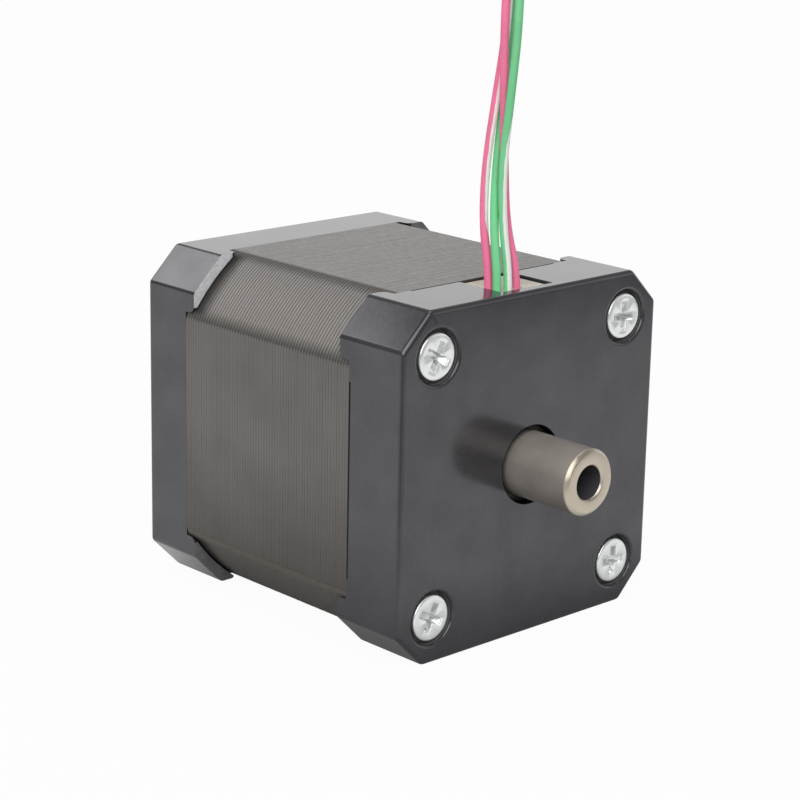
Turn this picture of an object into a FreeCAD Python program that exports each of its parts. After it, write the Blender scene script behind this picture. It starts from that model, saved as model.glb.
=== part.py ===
import FreeCAD, Part

import math
import os

from FreeCAD import Vector

# Hybrid stepper motor on a 42 mm square frame, with a hollow shaft through both ends.
# Millimetres. The shaft lies along Y and the origin is the centre of the front
# mounting face, which looks along +Y. The motor lies on a flat, and its leads
# leave the top of the rear bell along +Z.

# Frame and stack
frame_width = 42.0
bell_chamfer = 4.2
front_corner_round = 0.8
rear_corner_round = 1.0
bell_edge_round = 0.6
front_bell_depth = 7.5
stack_length = 29.7
rear_bell_depth = 8.8
lug_thickness = 1.33
lug_reach = 1.6
lug_tip_round = 1.0
joint_relief_depth = 0.3
joint_relief_width = 1.0
joint_relief_inset = 1.35
lug_clearance = 0.2
stack_shoulder_round = 2.5

# Bell interiors
side_wall = 3.4
front_wall = 3.2
rear_wall = 3.0
rear_web = 1.4
boss_wall = 2.0
boss_step = 0.2
front_bearing_inset = 0.3
pilot_radius = 11.0
pilot_height = 2.0
shaft_hole_gap = 0.7

# Fasteners
screw_inset = 5.5
screw_radius = 1.5
screw_hole_gap = 0.2
screw_core_radius = 1.25
screw_thread_gap = 0.02
screw_end_gap = 0.1
screw_head_radius = 2.75
screw_head_height = 1.7
screw_head_slope = 0.25
screw_head_sink = 0.05
counterbore_gap = 0.5
mount_thread_depth = 4.5
screw_turns = (26, 27, 1, 4)
recess_slot = 0.9
recess_span = 3.2
recess_depth = 1.1

# Shaft and rotor
shaft_radius = 4.0
shaft_bore_radius = 2.0
shaft_front_length = 20.0
shaft_rear_length = 9.4
shaft_end_chamfer = 0.45
bore_mouth_chamfer = 0.25
relief_depth = 0.2
relief_width = 0.8
relief_offset = 0.4
seat_gap = 0.012
rotor_teeth = 50
rotor_tooth_depth = 0.75
rotor_tooth_share = 0.42
rotor_cup_length = 13.0
magnet_length = 2.0
magnet_inset = 2.25
spacer_wall = 1.3

# Stator poles
pole_count = 8
teeth_per_pole = 6
air_gap = 0.15
stator_tooth_depth = 0.6
stator_tooth_share = 0.4
shoe_thickness = 0.9
pole_width = 4.0
yoke_step = 0.3
slot_depth = 4.8

# Windings and insulators
bobbin_plate = 0.8
bobbin_wall = 0.55
bobbin_height = 3.2
bobbin_overhang = 0.3
bobbin_gap = 0.15
bobbin_shelf = 0.4
tab_thickness = 0.6
tab_width = 5.6
coil_neighbour_gap = 0.8
coil_slot_gap = 0.35
coil_seat_gap = 0.05
coil_side_gap = 0.2
coil_end_round = 1.4
coil_inner_round = 0.1

# Bearings, 8 x 16 x 5
bearing_radius = 8.0
bearing_width = 5.0
ball_radius = 1.0
ball_count = 7
ball_gap = 0.02
groove_radius = 1.04
groove_depth = 0.4
cage_wall = 0.8
cage_width = 2.6
cage_pocket_gap = 0.06
shield_thickness = 0.25
shield_inset = 0.25
shield_lip = 0.3
shield_gap = 0.2
washer_thickness = 0.2
washer_wave = 0.24
washer_end_gap = 0.03
washer_lobes = 3
washer_points = 8
washer_width = 2.0
washer_side_gap = 0.2

# Lead exit
notch_half_width = 4.2
notch_depth = 7.2
notch_bite = 1.1
lead_block_left_gap = 0.12
lead_block_right_gap = 0.5
lead_block_end_gap = 0.2
lead_block_sink = 0.25
lead_block_floor_gap = 0.1
lead_hole_gap = 0.04

# Leads, coiled on the surface that the motor lies on. Their Y is measured from the rear joint.
lead_diameter = 1.0
arc_share = 0.45
coil_centre = (5.5, -74.8)
coil_mean_radius = 9.5
coil_half_width = 2.5
coil_floor_gap = 0.55
coil_height = 2.2
coil_section_chamfer = 0.8
tail_columns = (-0.5, -1.5, 0.5, 1.5)
tail_spacing = 1.08
tail_floor_gap = 0.08
tail_start = 3.0
tail_end = 11.5
tip_length = 5.5
tip_radius = 0.3
tie_width = 2.5
tie_strap = 0.45
tie_gap = 0.04
tie_side_gap = 0.15
tie_head = (3.6, 3.0, 1.8)

lead_routes = {
    "lead_red_white": [
        (-3.17, -4.13, 17.6), (-3.17, -4.13, 22.3), (-3.7, -3.4, 28.0), (-3.6, -3.4, 35.0),
        (-2.8, -4, 43.0), (-2.05, -4.7, 51.0), (-1.9, -4.75, 62.2), (-2.0, -9.1, 73.6),
        (-2.3, -20.5, 81.2), (-2.7, -35, 82.1), (-3.1, -47.8, 76.3), (-3.5, -56, 64.8),
        (-3.8, -59.6, 48.1), (-3.9, -60.3, 27.0), (-3.9, -59.9, 8.0), (-3.9, -59.1, -5.5),
        (-3.9, -60.8, -13.2), (-3.75, -64.3, -17.2), (-3.6, -68.4, -18.3),
    ],
    "lead_green": [
        (-3.14, -5.45, 17.6), (-3.14, -5.45, 22.3), (-3.35, -4.75, 28.0), (-2.65, -4.15, 35.0),
        (-1.5, -4, 43.0), (-0.9, -4.2, 51.0), (-0.95, -5.5, 62.0), (-1.05, -9.7, 73.1),
        (-1.35, -20.8, 80.5), (-1.75, -34.8, 81.3), (-2.15, -47.3, 75.7), (-2.55, -55.3, 64.4),
        (-2.85, -58.8, 48.0), (-2.95, -59.5, 27.0), (-2.95, -59.1, 8.0), (-2.95, -58.4, -5.6),
        (-2.95, -60.1, -13.6), (-2.8, -63.8, -18.0), (-2.6, -68.2, -19.1),
    ],
    "lead_green_white": [
        (-1.86, -6, 17.6), (-1.86, -6, 22.3), (-2.75, -5.65, 28.0), (-3.4, -5.9, 35.0),
        (-2.95, -6.4, 43.0), (-2.15, -6.55, 51.0), (-2.0, -6.45, 61.8), (-2.1, -10.5, 72.5),
        (-2.4, -21.1, 79.6), (-2.8, -34.6, 80.3), (-3.2, -46.6, 74.9), (-3.6, -54.4, 64.1),
        (-3.9, -57.9, 47.9), (-4.0, -58.6, 27.0), (-4.0, -58.2, 8.0), (-4.0, -57.5, -5.7),
        (-4.0, -59.2, -13.8), (-4.05, -63.3, -18.4), (-4.2, -68.0, -19.35),
    ],
    "lead_red": [
        (-0.31, -5.85, 17.6), (-0.31, -5.85, 22.3), (-1.65, -5.1, 28.0), (-2.4, -5.2, 35.0),
        (-2.8, -5.3, 43.0), (-3.1, -5.2, 51.0), (-2.95, -5.6, 62.0), (-3.05, -9.8, 73.0),
        (-3.35, -20.8, 80.4), (-3.75, -34.8, 81.2), (-4.15, -47.2, 75.6), (-4.55, -55.2, 64.4),
        (-4.85, -58.7, 48.0), (-4.95, -59.4, 27.0), (-4.95, -59, 8.0), (-4.95, -58.3, -5.6),
        (-4.95, -60, -13.6), (-5.0, -63.8, -17.8), (-5.0, -69.2, -18.95),
    ],
}

# Places that follow from the sizes above
half_frame = frame_width / 2
lug_radius = (frame_width - bell_chamfer) / math.sqrt(2) - lug_thickness
stack_corner_radius = lug_radius - lug_clearance
shoulder_inset = half_frame - stack_shoulder_round
stack_flat_half = math.sqrt((stack_corner_radius - stack_shoulder_round) ** 2 - shoulder_inset ** 2)
cavity_radius = half_frame - side_wall
yoke_radius = cavity_radius - yoke_step
front_face = 0.0
front_joint = front_face - front_bell_depth
rear_joint = front_joint - stack_length
rear_face = rear_joint - rear_bell_depth
rotor_length = 2 * rotor_cup_length + magnet_length
rotor_front = front_joint - (stack_length - rotor_length) / 2
rotor_rear = rotor_front - rotor_length
shaft_hole_radius = shaft_radius + shaft_hole_gap
washer_space = washer_thickness + washer_wave + 2 * washer_end_gap
front_bearing_low = front_face - front_bearing_inset - bearing_width
rear_bearing_low = rear_face + rear_web + washer_space
boss_radius = bearing_radius + boss_wall
shoe_back = yoke_radius - slot_depth
tooth_root = shoe_back - shoe_thickness
stator_bore = tooth_root - stator_tooth_depth
rotor_radius = stator_bore - air_gap
magnet_radius = rotor_radius - magnet_inset
bobbin_radius = cavity_radius - bobbin_gap
screw_half = half_frame - screw_inset
screw_places = [(sx * screw_half, sz * screw_half) for sx in (-1, 1) for sz in (-1, 1)]
head_seat = rear_face + screw_head_sink + screw_head_height
floor_height = -half_frame
pitch_radius = (shaft_radius + bearing_radius) / 2
inner_land_radius = pitch_radius - ball_radius + groove_depth
outer_land_radius = pitch_radius + ball_radius - groove_depth


def polar(radius, degrees):
    angle = math.radians(degrees)
    return Vector(radius * math.sin(angle), 0, radius * math.cos(angle))


def line(start, end):
    return Part.LineSegment(start, end).toShape()


def round_arc(radius, start, end):
    return Part.Arc(polar(radius, start), polar(radius, (start + end) / 2), polar(radius, end)).toShape()


def cylinder(radius, y_low, y_high, x=0.0, z=0.0):
    return Part.makeCylinder(radius, y_high - y_low, Vector(x, y_low, z), Vector(0, 1, 0))


def sleeve(outer, inner, y_low, y_high):
    return cylinder(outer, y_low, y_high).cut(cylinder(inner, y_low, y_high))


def block(x_low, x_high, y_low, y_high, z_low, z_high):
    corner = Vector(x_low, y_low, z_low)
    return Part.makeBox(x_high - x_low, y_high - y_low, z_high - z_low, corner)


def turned(shape, degrees):
    copy = shape.copy()
    copy.rotate(Vector(0, 0, 0), Vector(0, 1, 0), degrees)
    return copy


def prism(wire, y_low, y_high):
    face = Part.Face(wire)
    face.translate(Vector(0, y_low, 0))
    return face.extrude(Vector(0, y_high - y_low, 0))


def corner_arc(before, corner, after, radius):
    first = (before - corner).normalize()
    second = (after - corner).normalize()
    half_open = first.getAngle(second) / 2
    reach = radius / math.tan(half_open)
    bisector = (first + second).normalize()
    middle = corner + bisector * (radius / math.sin(half_open) - radius)
    return Part.Arc(corner + first * reach, middle, corner + second * reach)


def rounded_outline(corners, radius):
    count = len(corners)
    arcs = [corner_arc(corners[i - 1], corners[i], corners[(i + 1) % count], radius) for i in range(count)]
    edges = []
    for i, arc in enumerate(arcs):
        edges.append(arc.toShape())
        edges.append(line(arc.EndPoint, arcs[(i + 1) % count].StartPoint))
    return Part.Wire(edges)


def frame_outline(chamfer, radius):
    # A square of the frame's width with its corners cut off.
    flat = half_frame - chamfer
    corners = []
    for quarter in range(4):
        turn = FreeCAD.Rotation(Vector(0, 1, 0), 90 * quarter)
        corners.append(turn.multVec(Vector(-flat, 0, half_frame)))
        corners.append(turn.multVec(Vector(flat, 0, half_frame)))
    return rounded_outline(corners, radius)


def corner_lugs(outline, y_joint, y_end):
    # Slivers of the bell's outline outside a circle, with the corners of their eight tips rounded.
    span = (min(y_joint, y_end), max(y_joint, y_end))
    lugs = prism(outline, *span).cut(cylinder(lug_radius, *span))
    tip = math.sqrt(lug_radius ** 2 - half_frame ** 2)
    back = lug_tip_round if y_joint > y_end else -lug_tip_round
    corner = (min(y_end, y_end + back), max(y_end, y_end + back))
    for side in (-1, 1):
        inner = side * (tip + lug_tip_round)
        cutter = block(min(side * tip, inner), max(side * tip, inner), *corner,
                       half_frame - lug_tip_round, half_frame + lug_tip_round)
        keep = Part.makeCylinder(lug_tip_round, 2 * lug_tip_round,
                                 Vector(inner, y_end + back, half_frame - lug_tip_round))
        cutter = cutter.cut(keep)
        for quarter in range(4):
            lugs = lugs.cut(turned(cutter, 90 * quarter))
    return lugs


def bell_shell(y_joint, y_outer, wall, corner_round):
    # Square casting with its cavity open to the stack, and lugs that stand over the stack's corners.
    away = 1 if y_outer > y_joint else -1
    outline = frame_outline(bell_chamfer, corner_round)
    shell = prism(outline, min(y_joint, y_outer), max(y_joint, y_outer))
    rim = [e for e in shell.Edges if all(abs(v.Y - y_outer) < 1e-6 for v in e.Vertexes)]
    shell = shell.makeFillet(bell_edge_round, rim)
    y_wall = y_outer - away * wall
    shell = shell.cut(cylinder(cavity_radius, min(y_joint, y_wall), max(y_joint, y_wall)))
    return shell.fuse(corner_lugs(outline, y_joint, y_joint - away * lug_reach))


def front_end_bell():
    shell = bell_shell(front_joint, front_face, front_wall, front_corner_round)
    boss_low = front_bearing_low + boss_step
    shell = shell.fuse(cylinder(boss_radius, boss_low, front_face - front_wall))
    shell = shell.fuse(cylinder(pilot_radius, front_face, front_face + pilot_height))
    shell = shell.cut(cylinder(bearing_radius + seat_gap, front_joint, front_bearing_low + bearing_width))
    shell = shell.cut(cylinder(shaft_hole_radius, front_joint, front_face + pilot_height))
    for x, z in screw_places:
        core_radius = screw_core_radius + screw_thread_gap
        shell = shell.cut(cylinder(core_radius, front_joint, front_face, x, z))
        shell = shell.cut(cylinder(screw_radius, front_face - mount_thread_depth, front_face, x, z))
    return shell.removeSplitter()


def rear_end_bell():
    # The joint is relieved along the four flats of the stack.
    shell = bell_shell(rear_joint, rear_face, rear_wall, rear_corner_round)
    relief_half = stack_flat_half - joint_relief_inset
    relief = block(-relief_half, relief_half, rear_joint - joint_relief_depth, rear_joint,
                   half_frame - joint_relief_width, half_frame + joint_relief_width)
    for quarter in range(4):
        shell = shell.cut(turned(relief, 90 * quarter))
    boss_high = rear_bearing_low + bearing_width - boss_step
    shell = shell.fuse(cylinder(boss_radius, rear_face + rear_wall, boss_high))
    shell = shell.cut(cylinder(bearing_radius + seat_gap, rear_face + rear_web, rear_joint))
    shell = shell.cut(cylinder(shaft_hole_radius, rear_face, rear_joint))
    for x, z in screw_places:
        shell = shell.cut(cylinder(screw_radius + screw_hole_gap, rear_face, rear_joint, x, z))
        shell = shell.cut(cylinder(screw_head_radius + counterbore_gap, rear_face, head_seat, x, z))
    notch = block(-notch_half_width, notch_half_width, rear_joint - notch_depth, rear_joint,
                  cavity_radius - notch_bite, half_frame + bell_edge_round)
    return shell.cut(notch).removeSplitter()


def stator_bore_outline():
    pitch = 360 / rotor_teeth
    tooth_half = pitch * stator_tooth_share / 2
    shoe_half = (teeth_per_pole - 1) / 2 * pitch + tooth_half
    at_yoke = math.degrees(math.asin(pole_width / 2 / yoke_radius))
    at_shoe = math.degrees(math.asin(pole_width / 2 / shoe_back))
    step = 360 / pole_count
    edges = []
    for pole in range(pole_count):
        a = pole * step
        edges.append(line(polar(yoke_radius, a - at_yoke), polar(shoe_back, a - at_shoe)))
        edges.append(round_arc(shoe_back, a - at_shoe, a - shoe_half))
        edges.append(line(polar(shoe_back, a - shoe_half), polar(stator_bore, a - shoe_half)))
        for tooth in range(teeth_per_pole):
            left = a - shoe_half + tooth * pitch
            right = left + 2 * tooth_half
            edges.append(round_arc(stator_bore, left, right))
            if tooth < teeth_per_pole - 1:
                edges.append(line(polar(stator_bore, right), polar(tooth_root, right)))
                edges.append(round_arc(tooth_root, right, left + pitch))
                edges.append(line(polar(tooth_root, left + pitch), polar(stator_bore, left + pitch)))
        edges.append(line(polar(stator_bore, a + shoe_half), polar(shoe_back, a + shoe_half)))
        edges.append(round_arc(shoe_back, a + shoe_half, a + at_shoe))
        edges.append(line(polar(shoe_back, a + at_shoe), polar(yoke_radius, a + at_yoke)))
        edges.append(round_arc(yoke_radius, a + at_yoke, a + step - at_yoke))
    return Part.Wire(edges)


def shoulder_arc(x, z, start, end):
    places = [Vector(x, 0, z) + polar(stack_shoulder_round, a) for a in (start, (start + end) / 2, end)]
    return Part.Arc(*places).toShape()


def stack_outline():
    # A square whose corners lie on a circle about the shaft, with rounded shoulders.
    shoulder = math.degrees(math.atan2(stack_flat_half, shoulder_inset))
    side = [line(Vector(-stack_flat_half, 0, half_frame), Vector(stack_flat_half, 0, half_frame)),
            shoulder_arc(stack_flat_half, shoulder_inset, 0, shoulder),
            round_arc(stack_corner_radius, shoulder, 90 - shoulder),
            shoulder_arc(shoulder_inset, stack_flat_half, 90 - shoulder, 90)]
    return Part.Wire([turned(edge, 90 * quarter) for quarter in range(4) for edge in side])


def stator_core():
    core = prism(stack_outline(), rear_joint, front_joint)
    core = core.cut(prism(stator_bore_outline(), rear_joint, front_joint))
    for x, z in screw_places:
        core = core.cut(cylinder(screw_radius + screw_hole_gap, rear_joint, front_joint, x, z))
    return core


def bobbin(y_stack, away):
    # End insulator: a rim, a plate over the yoke, and a spoke and a retaining tab at each pole.
    y_plate = y_stack + away * bobbin_plate
    y_top = y_stack + away * bobbin_height
    plate = (min(y_stack, y_plate), max(y_stack, y_plate))
    tall = (min(y_stack, y_top), max(y_stack, y_top))
    rim_inner = bobbin_radius - bobbin_wall
    pieces = [sleeve(bobbin_radius, rim_inner - bobbin_shelf, *plate)]
    spoke_half = pole_width / 2 + bobbin_overhang
    spoke = block(-spoke_half, spoke_half, *plate, shoe_back - tab_thickness, rim_inner)
    tab = block(-tab_width / 2, tab_width / 2, *tall, shoe_back - tab_thickness, shoe_back)
    for pole in range(pole_count):
        pieces.append(turned(spoke, pole * 360 / pole_count))
        pieces.append(turned(tab, pole * 360 / pole_count))
    return sleeve(bobbin_radius, rim_inner, *tall).multiFuse(pieces).removeSplitter()


def phase_coils(first_pole):
    # One winding on every second pole: a flat racetrack round the pole and both insulators.
    low = shoe_back + coil_side_gap
    half_x = pole_width / 2 + coil_slot_gap
    thickness = low * math.tan(math.pi / pole_count) - half_x - coil_neighbour_gap
    shelf_radius = bobbin_radius - bobbin_wall - bobbin_shelf - coil_side_gap
    high = math.sqrt(shelf_radius ** 2 - (half_x + thickness) ** 2)
    middle = (front_joint + rear_joint) / 2
    half_y = stack_length / 2 + bobbin_plate + coil_seat_gap

    def racetrack(extra, radius):
        x = half_x + extra
        y = half_y + extra
        corners = [Vector(-x, middle - y, low), Vector(x, middle - y, low),
                   Vector(x, middle + y, low), Vector(-x, middle + y, low)]
        return Part.Face(rounded_outline(corners, radius)).extrude(Vector(0, 0, high - low))

    winding = racetrack(thickness, coil_end_round).cut(racetrack(0, coil_inner_round))
    step = 360 / pole_count
    return Part.Compound([turned(winding, step * pole) for pole in range(first_pole, pole_count, 2)])


def lead_points(name):
    return [Vector(x, rear_joint + y, z) for x, y, z in lead_routes[name]]


def coil_middle(z):
    return Vector(coil_centre[0], rear_joint + coil_centre[1], z)


def lead_block():
    left = -notch_half_width + lead_block_left_gap
    right = notch_half_width - lead_block_right_gap
    bottom = bobbin_radius + lead_block_floor_gap
    top = half_frame - lead_block_sink
    solid = block(left, right, rear_joint - notch_depth + lead_block_end_gap,
                  rear_joint - joint_relief_depth, bottom, top)
    for name in lead_routes:
        x, y, _ = lead_points(name)[0]
        hole = Part.makeCylinder(lead_diameter / 2 + lead_hole_gap, top - bottom, Vector(x, y, bottom))
        solid = solid.cut(hole)
    return solid


def tie_screws():
    head_top = head_seat - screw_head_height
    head = cylinder(screw_head_radius, head_top, head_seat)
    top_edge = [e for e in head.Edges if abs(e.BoundBox.YMax - head_top) < 1e-6]
    head = head.makeChamfer(screw_head_slope, top_edge)
    slot = block(-recess_span / 2, recess_span / 2, head_top, head_top + recess_depth,
                 -recess_slot / 2, recess_slot / 2)
    head = head.cut(slot).cut(turned(slot, 90))
    shank = cylinder(screw_radius, head_seat, front_joint - lug_reach)
    thread_end = front_face - mount_thread_depth - screw_end_gap
    thread = cylinder(screw_core_radius, front_joint - lug_reach, thread_end)
    screw = head.fuse(shank).fuse(thread)
    copies = []
    for (x, z), angle in zip(screw_places, screw_turns):
        copy = turned(screw, angle)
        copy.translate(Vector(x, 0, z))
        copies.append(copy)
    return Part.Compound(copies)


def wave_washer():
    outer = bearing_radius - washer_side_gap
    inner = outer - washer_width
    y_middle = rear_face + rear_web + washer_end_gap + washer_wave / 2
    samples = washer_points * washer_lobes

    def rim(radius):
        points = []
        for i in range(samples):
            turn = 360 * i / samples
            lift = washer_wave / 2 * math.sin(math.radians(washer_lobes * turn))
            points.append(polar(radius, turn) + Vector(0, y_middle + lift, 0))
        curve = Part.BSplineCurve()
        curve.interpolate(Points=points, PeriodicFlag=True)
        return curve.toShape()

    spring = Part.makeRuledSurface(rim(inner), rim(outer))
    return spring.extrude(Vector(0, washer_thickness, 0))


def ball_centres(y_middle):
    return [polar(pitch_radius, 360 * i / ball_count) + Vector(0, y_middle, 0) for i in range(ball_count)]


def outer_ring(y_low):
    y_middle = y_low + bearing_width / 2
    ring = sleeve(bearing_radius, outer_land_radius, y_low, y_low + bearing_width)
    groove = pitch_radius + ball_radius + ball_gap - groove_radius
    ring = ring.cut(Part.makeTorus(groove, groove_radius, Vector(0, y_middle, 0), Vector(0, 1, 0)))
    rebate = shield_inset + shield_thickness
    seat = outer_land_radius + shield_lip
    ring = ring.cut(cylinder(seat, y_low, y_low + rebate))
    return ring.cut(cylinder(seat, y_low + bearing_width - rebate, y_low + bearing_width))


def inner_ring(y_low):
    y_middle = y_low + bearing_width / 2
    ring = sleeve(inner_land_radius, shaft_radius + seat_gap, y_low, y_low + bearing_width)
    groove = pitch_radius - ball_radius - ball_gap + groove_radius
    return ring.cut(Part.makeTorus(groove, groove_radius, Vector(0, y_middle, 0), Vector(0, 1, 0)))


def bearing_shields(y_low):
    outer = outer_land_radius + shield_lip - seat_gap
    inner = inner_land_radius + shield_gap
    near = sleeve(outer, inner, y_low + shield_inset, y_low + shield_inset + shield_thickness)
    far_low = y_low + bearing_width - shield_inset - shield_thickness
    return Part.Compound([near, sleeve(outer, inner, far_low, far_low + shield_thickness)])


def bearing_balls(y_low):
    y_middle = y_low + bearing_width / 2
    return Part.Compound([Part.makeSphere(ball_radius, c) for c in ball_centres(y_middle)])


def bearing_cage(y_low):
    y_middle = y_low + bearing_width / 2
    cage = sleeve(pitch_radius + cage_wall / 2, pitch_radius - cage_wall / 2,
                  y_middle - cage_width / 2, y_middle + cage_width / 2)
    for centre in ball_centres(y_middle):
        outward = Vector(centre.x, 0, centre.z).normalize()
        pocket = Part.makeCylinder(ball_radius + cage_pocket_gap, 2 * cage_wall,
                                   centre - outward * cage_wall, outward)
        cage = cage.cut(pocket)
    return cage


def hollow_shaft():
    front_end = front_face + shaft_front_length
    rear_end = rear_face - shaft_rear_length
    mouth = shaft_bore_radius + bore_mouth_chamfer
    rim = shaft_radius - shaft_end_chamfer
    profile = [
        (shaft_bore_radius, rear_end + bore_mouth_chamfer), (mouth, rear_end), (rim, rear_end),
        (shaft_radius, rear_end + shaft_end_chamfer), (shaft_radius, front_end - shaft_end_chamfer),
        (rim, front_end), (mouth, front_end), (shaft_bore_radius, front_end - bore_mouth_chamfer),
    ]
    points = [Vector(r, y, 0) for r, y in profile]
    face = Part.Face(Part.makePolygon(points + points[:1]))
    shaft = face.revolve(Vector(0, 0, 0), Vector(0, 1, 0), 360)
    # A grinding relief just outside each bearing seat, hidden in the bell's hole.
    front_relief = front_bearing_low + bearing_width + relief_offset
    rear_relief = rear_bearing_low - relief_offset - relief_width
    for y_low in (front_relief, rear_relief):
        shaft = shaft.cut(sleeve(shaft_radius + relief_depth, shaft_radius - relief_depth,
                                 y_low, y_low + relief_width))
    return shaft


def rotor_cup(y_low, phase):
    # Toothed ring; the two cups stand half a tooth apart.
    pitch = 360 / rotor_teeth
    tooth = pitch * rotor_tooth_share
    root = rotor_radius - rotor_tooth_depth
    edges = []
    for i in range(rotor_teeth):
        left = (i + phase) * pitch - tooth / 2
        right = left + tooth
        edges.append(round_arc(rotor_radius, left, right))
        edges.append(line(polar(rotor_radius, right), polar(root, right)))
        edges.append(round_arc(root, right, left + pitch))
        edges.append(line(polar(root, left + pitch), polar(rotor_radius, left + pitch)))
    cup = prism(Part.Wire(edges), y_low, y_low + rotor_cup_length)
    return cup.cut(cylinder(shaft_radius + seat_gap, y_low, y_low + rotor_cup_length))


def on_shaft(outer, y_low, y_high):
    return sleeve(outer, shaft_radius + seat_gap, y_low, y_high)


def lead_tube(name):
    # Straight runs joined by tangent arcs as large as the runs allow.
    points = lead_points(name)
    edges = []
    radii = []
    here = points[0]
    for before, corner, after in zip(points, points[1:], points[2:]):
        first = before - corner
        second = after - corner
        half_open = first.getAngle(second) / 2
        radius = arc_share * min(first.Length, second.Length) * math.tan(half_open)
        arc = corner_arc(before, corner, after, radius)
        edges.append(line(here, arc.StartPoint))
        edges.append(arc.toShape())
        radii.append(round(radius, 1))
        here = arc.EndPoint
    edges.append(line(here, points[-1]))
    path = Part.Wire(edges)
    start = points[1] - points[0]
    circle = Part.Wire(Part.makeCircle(lead_diameter / 2, points[0], start))
    tube = path.makePipeShell([circle], True, False)
    share = tube.Volume / (math.pi * lead_diameter ** 2 / 4 * path.Length)
    print(name, "length", round(path.Length, 1), "volume share", round(share, 4), "radii", radii)
    return tube


def tail_places():
    # The four leads leave the coil side by side along +Y, flat on the surface.
    middle = coil_middle(floor_height + tail_floor_gap + lead_diameter / 2)
    return [middle + Vector(coil_mean_radius + column * tail_spacing, 0, 0) for column in tail_columns]


def lead(name):
    number = list(lead_routes).index(name)
    start = tail_places()[number] + Vector(0, tail_start, 0)
    tail = Part.makeCylinder(lead_diameter / 2, tail_end - tail_start, start, Vector(0, 1, 0))
    return Part.Compound([lead_tube(name), tail])


def tinned_ends():
    tips = []
    for place in tail_places():
        start = place + Vector(0, tail_end, 0)
        tips.append(Part.makeCylinder(tip_radius, tip_length, start, Vector(0, 1, 0)))
    return Part.Compound(tips)


def lead_coil():
    # A flat ring with broken edges, which holds the turns.
    low = floor_height + coil_floor_gap
    inner = coil_mean_radius - coil_half_width
    outer = coil_mean_radius + coil_half_width
    ring = Part.makeCylinder(outer, coil_height, coil_middle(low))
    ring = ring.cut(Part.makeCylinder(inner, coil_height, coil_middle(low)))
    rims = [e for e in ring.Edges if e.Closed]
    return ring.makeChamfer(coil_section_chamfer, rims)


def coil_tie():
    # A strap round both passes of the coil, with its head on top.
    low = floor_height + coil_floor_gap - tie_gap
    high = low + coil_height + 2 * tie_gap
    x, y, _ = coil_middle(low)
    near = y - coil_mean_radius + coil_half_width + tie_side_gap
    far = y - coil_mean_radius - coil_half_width - tie_side_gap
    half = tie_width / 2
    strap = block(x - half, x + half, far - tie_strap, near + tie_strap, low - tie_strap, high + tie_strap)
    strap = strap.cut(block(x - half, x + half, far, near, low, high))
    head_x, head_y, head_z = tie_head
    middle = (near + far) / 2
    top = high + tie_strap
    head = block(x - head_x / 2, x + head_x / 2, middle - head_y / 2, middle + head_y / 2, top, top + head_z)
    return strap.fuse(head).removeSplitter()


front_bearing_high = front_bearing_low + bearing_width
rear_bearing_high = rear_bearing_low + bearing_width
spacer_radius = shaft_radius + spacer_wall

nodes = {
    "front_end_bell": front_end_bell(),
    "rear_end_bell": rear_end_bell(),
    "stator_core": stator_core(),
    "front_bobbin": bobbin(front_joint, 1),
    "rear_bobbin": bobbin(rear_joint, -1),
    "phase_a_coils": phase_coils(0),
    "phase_b_coils": phase_coils(1),
    "lead_block": lead_block(),
    "tie_screws": tie_screws(),
    "wave_washer": wave_washer(),
    "front_outer_ring": outer_ring(front_bearing_low),
    "front_inner_ring": inner_ring(front_bearing_low),
    "front_shields": bearing_shields(front_bearing_low),
    "front_balls": bearing_balls(front_bearing_low),
    "front_cage": bearing_cage(front_bearing_low),
    "rear_outer_ring": outer_ring(rear_bearing_low),
    "rear_inner_ring": inner_ring(rear_bearing_low),
    "rear_shields": bearing_shields(rear_bearing_low),
    "rear_balls": bearing_balls(rear_bearing_low),
    "rear_cage": bearing_cage(rear_bearing_low),
    "hollow_shaft": hollow_shaft(),
    "front_rotor_cup": rotor_cup(rotor_front - rotor_cup_length, 0),
    "rear_rotor_cup": rotor_cup(rotor_rear, 0.5),
    "rotor_magnet": on_shaft(magnet_radius, rotor_rear + rotor_cup_length, rotor_front - rotor_cup_length),
    "front_spacer": on_shaft(spacer_radius, rotor_front, front_bearing_low),
    "rear_spacer": on_shaft(spacer_radius, rear_bearing_high, rotor_rear),
    "lead_coil": lead_coil(),
    "coil_tie": coil_tie(),
    "tinned_ends": tinned_ends(),
}
for name in lead_routes:
    nodes[name] = lead(name)

os.makedirs("parts", exist_ok=True)
for name, shape in nodes.items():
    box = shape.BoundBox
    print(name, "solids", len(shape.Solids), "valid", shape.isValid(), "volume", round(shape.Volume, 2),
          "y", round(box.YMin, 2), round(box.YMax, 2))
    shape.exportStep("parts/" + name + ".step")
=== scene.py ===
import math

import bmesh
import bpy
from mathutils import Matrix, Vector


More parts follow.
